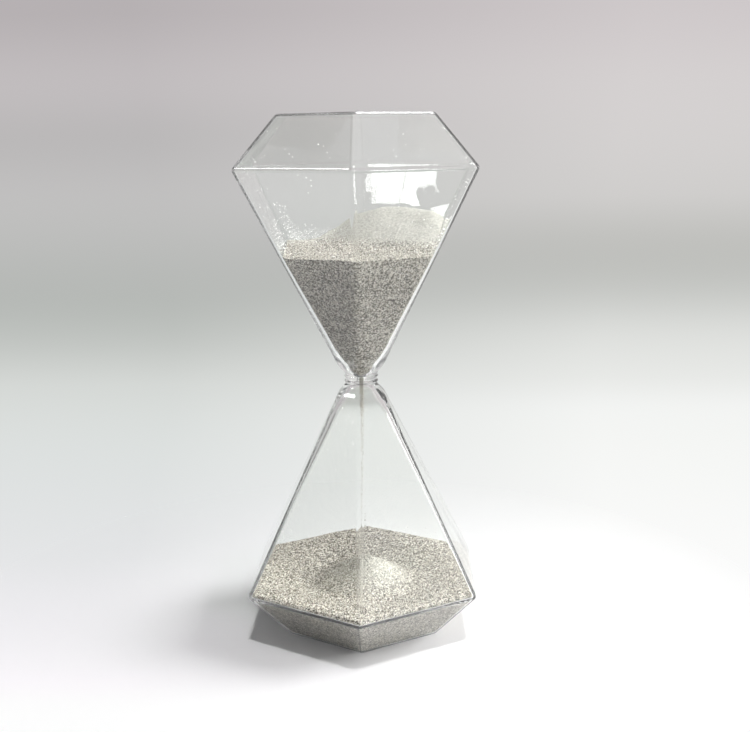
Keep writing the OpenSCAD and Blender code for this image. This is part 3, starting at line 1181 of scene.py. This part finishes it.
def make_stage():
    """The sweep, as one strip of faces across its profile."""
    profile = [(SWEEP_FRONT, 0.0), (SWEEP_FLAT_TO, 0.0)]
    for i in range(1, SWEEP_BEND_STEPS + 1):
        angle = math.pi / 2 * i / SWEEP_BEND_STEPS
        out, up = SWEEP_BEND_R * math.sin(angle), SWEEP_BEND_R * (1 - math.cos(angle))
        profile.append((SWEEP_FLAT_TO + out, up))
    profile.append((SWEEP_FLAT_TO + SWEEP_BEND_R, SWEEP_TOP))
    points = [(x, y, z) for y, z in profile for x in (-SWEEP_WIDTH / 2, SWEEP_WIDTH / 2)]
    faces = [(2 * i, 2 * i + 1, 2 * i + 3, 2 * i + 2) for i in range(len(profile) - 1)]
    mesh = bpy.data.meshes.new("sweep")
    mesh.from_pydata(points, [], faces)
    mesh.polygons.foreach_set("use_smooth", [True] * len(faces))
    mesh.materials.append(sweep_material())
    link("sweep", mesh)


# -------- light
# Strength of the room's light on matt surfaces, and as the glass shows it: at its middle, its
# gain towards +X, +Y and +Z, and the least of both
ROOM_LIT = (0.115, 0.30, 0.04, 0.0)
ROOM_SHOWN = (1.05, 0.2, 0.0, 0.1)
ROOM_LEAST = 0.1
# Strength of the room where a ray comes straight through the glass
ROOM_STRAIGHT = 0.84
# How dark the curtain and the ceiling are in a reflection, how soft their edges are, and where
# these lie in the direction of the reflected light
DARK_MOST = 0.85
DARK_EDGE = 0.2
CURTAIN_RIGHT, CURTAIN_TOP = -0.5, 0.5
CEILING_RIGHT, CEILING_FOOT = -0.1, 0.6
ROOM_COLOUR = (0.985, 0.99, 1.0, 1)


def make_world():
    """A room that is light above, behind and to the right. The glass sees a brighter, more even
    room than the one that lights the sand. Only what it reflects shows a dark curtain at the
    left and a dark ceiling."""
    world = bpy.data.worlds.new("studio")
    world.use_nodes = True
    tree = world.node_tree
    sky = tree.nodes["Background"]
    x, y, z = split_place(tree, "Generated")

    def level(base, by_x, by_y, by_z):
        return (z * by_z + (y * by_y + (x * by_x + base))).at_least(ROOM_LEAST)

    def beyond(axis, start, sign):
        """0 up to a place along the axis, 1 from the width of an edge beyond it."""
        return ((axis - start) * sign / DARK_EDGE).clamped()

    shown = level(*ROOM_SHOWN)
    curtain = beyond(x, CURTAIN_RIGHT, -1) * beyond(z, CURTAIN_TOP, -1)
    ceiling = beyond(x, CEILING_RIGHT, -1) * beyond(z, CEILING_FOOT, 1)
    reflections = light_path(tree, "Glossy Depth")
    shown = shown - curtain.at_least(ceiling) * reflections.at_most(DARK_MOST)
    straight = 1.0 - reflections.at_most(1.0)
    shown = shown - (shown - ROOM_STRAIGHT) * straight
    bounced = light_path(tree, "Diffuse Depth").at_most(1.0)
    tree.links.new(mixed(tree, bounced, shown, level(*ROOM_LIT), "FLOAT"), sky.inputs["Strength"])
    sky.inputs["Color"].default_value = ROOM_COLOUR
    bpy.context.scene.world = world


def softbox(name, direction, size, power, distance=1.0, aim=(0, 0, 0.12), offset=(0, 0), roll=0.0,
            through_glass=True, on_matt=True, in_gloss=True):
    """A rectangular lamp in that direction from the aim point, facing it, with its offset and
    roll in its own plane. through_glass says whether rays that the glass lets through meet it,
    on_matt whether it lights matt surfaces, and in_gloss whether gloss reflects it."""
    data = bpy.data.lights.new(name, "AREA")
    data.shape = "RECTANGLE"
    data.size, data.size_y = size
    data.energy = power
    lamp = link(name, data)
    lamp.visible_transmission = through_glass
    lamp.visible_diffuse = on_matt
    lamp.visible_glossy = in_gloss
    toward = Vector(direction).normalized()
    turned = (-toward).to_track_quat("-Z", "Y").to_matrix().to_4x4()
    moved = Matrix.Translation(Vector(aim) + toward * distance)
    shifted = Matrix.Translation((*offset, 0))
    lamp.matrix_world = moved @ turned @ shifted @ Matrix.Rotation(roll, 4, "Z")


make_stage()
make_world()
softbox("key_light", direction=(0.87, 0.20, 0.45), size=(1.20, 0.90), power=38.5, distance=2.0,
        through_glass=False, in_gloss=False)
softbox("ceiling_light", direction=(0.12, -0.19, 0.97), size=(0.14, 0.14), power=15.5, distance=2.0,
        through_glass=False)
softbox("rear_light", direction=(0.28, 0.53, 0.80), size=(0.90, 0.22), power=8.0,
        aim=(0.017, -0.029, 0.2), roll=-0.60, through_glass=False, on_matt=False)
softbox("right_window", direction=(0.93, 0.25, 0.22), size=(0.25, 0.30), power=1.2)
softbox("left_strip", direction=(-0.76, -0.19, 0.62), size=(0.26, 0.20), power=4.0,
        aim=(-0.02, -0.04, 0.18), through_glass=False, on_matt=False)
softbox("front_fill", direction=(0.72, -0.69, 0.0), size=(0.30, 0.15), power=1.0)

# Bright panes of a window at the left, seen again in the back wall of the upper bulb: how far
# each lies across and down from the window's corner, its width and its height
WINDOW_PANES = [
    (0.028, 0.026, 0.056, 0.052),
    (0.074, 0.015, 0.036, 0.030),
    (0.062, 0.041, 0.013, 0.022),
    (0.100, 0.066, 0.030, 0.023),
]
WINDOW_CORNER = Vector((-0.105, 0.039))
WINDOW_ROLL = math.radians(27.7)
WINDOW_GLOW = 38.0
for i, (across, down, width, height) in enumerate(WINDOW_PANES):
    place = WINDOW_CORNER + Matrix.Rotation(WINDOW_ROLL, 2) @ Vector((across, -down))
    softbox(f"window_pane_{i}", direction=(-0.73, -0.31, 0.60), size=(width, height),
            power=WINDOW_GLOW * width * height, aim=(0.028, 0.030, 0.172), offset=place,
            roll=WINDOW_ROLL)
